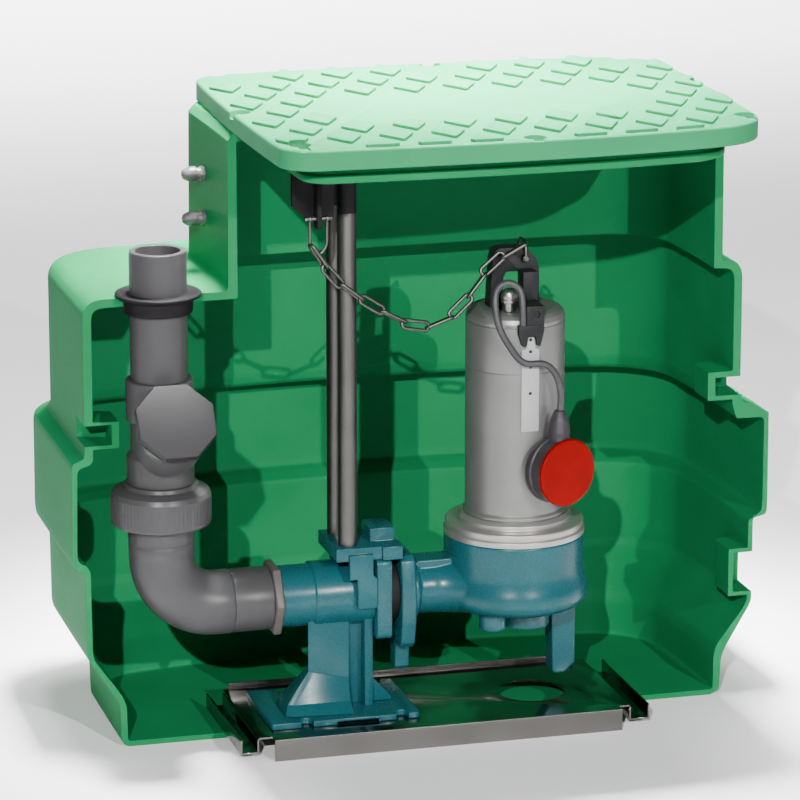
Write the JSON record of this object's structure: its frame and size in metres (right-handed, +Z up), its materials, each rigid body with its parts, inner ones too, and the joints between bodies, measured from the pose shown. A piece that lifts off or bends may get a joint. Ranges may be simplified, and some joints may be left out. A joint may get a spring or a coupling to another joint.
{
  "type": "cutaway sewage lift station",
  "caption": "Moulded green pump tank cut away to show its submersible pump, guide tubes, valve, riser pipe, float and tread-plate lid.",
  "frame": {"origin": "under the middle of the whole object's box, on the floor", "axes": "+X along the cut face towards the pump side, +Y from the cut face into the tank, +Z up"},
  "size_m": [0.8058, 0.567, 0.709],
  "materials": {
    "tank_polyethylene": "rotationally moulded green polyethylene, satin",
    "lid_polyethylene": "moulded green polyethylene with tread pads",
    "pipe_pvc": "grey extruded and moulded PVC",
    "seal_rubber": "black moulded rubber",
    "cast_paint": "blue paint on cast iron",
    "tube_steel": "drawn and brushed stainless steel",
    "tray_steel": "folded stainless sheet, bright",
    "motor_steel": "fine brushed stainless casing",
    "ring_metal": "turned metal ring",
    "bracket_coating": "dark coating on steel plate",
    "handle_nylon": "dark glass-filled nylon",
    "gland_nylon": "grey nylon",
    "float_red": "red moulded plastic",
    "float_dark": "dark grey moulded plastic",
    "cable_rubber": "dark grey rubber cable sheath",
    "strip_plastic": "pale grey plastic strip"
  },
  "bodies": {
    "root": {"tank_base": "tank_polyethylene", "tank_lower_wall": "tank_polyethylene", "tank_rib_band": "tank_polyethylene", "tank_upper_wall": "tank_polyethylene", "tank_deck": "tank_polyethylene", "tank_neck": "tank_polyethylene", "lid_plate": "lid_polyethylene", "lid_inner_lip": "tank_polyethylene", "cable_gland_upper": "gland_nylon", "cable_gland_lower": "gland_nylon", "riser_pipe": "pipe_pvc", "pipe_seal": "seal_rubber", "check_valve_body": "pipe_pvc", "check_valve_cap": "pipe_pvc", "union_nut": "pipe_pvc", "discharge_elbow": "pipe_pvc", "pipe_sleeve": "pipe_pvc", "adapter_nut": "pipe_pvc", "coupling_foot": "cast_paint", "foot_base_plate": "cast_paint", "foot_flange": "cast_paint", "flange_seal": "seal_rubber", "slide_bracket": "cast_paint", "pump_flange": "cast_paint", "guide_rail_front": "tube_steel", "guide_rail_rear": "tube_steel", "rail_head_bracket": "bracket_coating", "chain_shackle": "tube_steel", "lifting_chain": "tube_steel", "handle_shackle": "tube_steel", "support_tray": "tray_steel", "tray_rail_left": "tray_steel", "tray_rail_right": "tray_steel", "pump_volute": "cast_paint", "pump_flange_ring": "ring_metal", "motor_casing": "motor_steel", "motor_head": "motor_steel", "lifting_handle": "handle_nylon", "gland_nut": "ring_metal", "terminal_block": "handle_nylon", "cable_clamp": "handle_nylon", "level_strip": "strip_plastic", "float_body": "float_dark", "float_cap": "float_red", "float_cable": "cable_rubber"}
  },
  "joints": []
}
